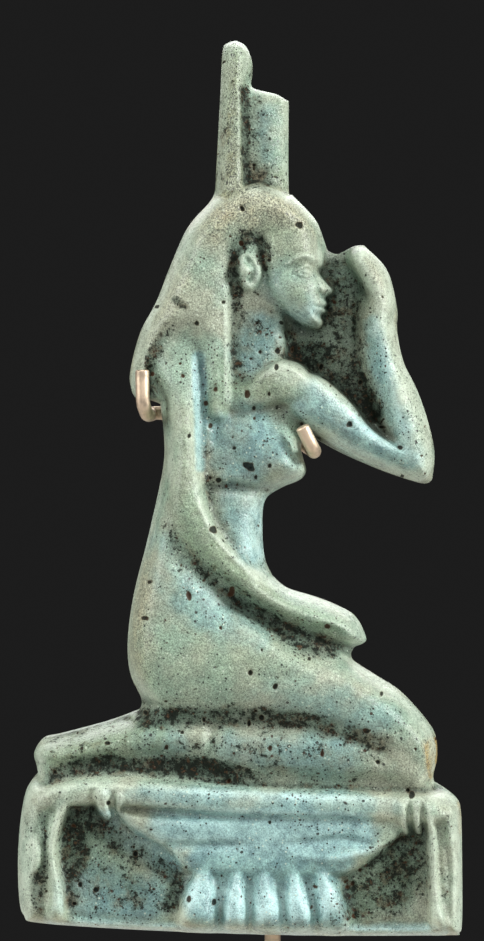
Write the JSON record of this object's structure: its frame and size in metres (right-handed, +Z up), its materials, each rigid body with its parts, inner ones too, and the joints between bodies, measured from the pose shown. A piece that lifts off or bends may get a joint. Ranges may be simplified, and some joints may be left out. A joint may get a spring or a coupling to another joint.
{
  "type": "isis amulet",
  "caption": "Flat-backed faience amulet of a kneeling goddess with a throne sign on the head, on a collar-sign base, held by a wire display mount on a foot.",
  "frame": {"origin": "middle of the foot's underside, on the axis of the mount's stem", "axes": "+Z up the stem, the amulet faces -Y, +X to the viewer's right"},
  "size_m": [0.042, 0.03, 0.0957],
  "materials": {
    "faience": "worn blue-green glaze with dirt in the hollows",
    "mount_metal": "satin",
    "foot_metal": "satin"
  },
  "bodies": {
    "root": {"isis_amulet": "faience", "mount_wire": "mount_metal", "mount_foot": "foot_metal"}
  },
  "joints": []
}
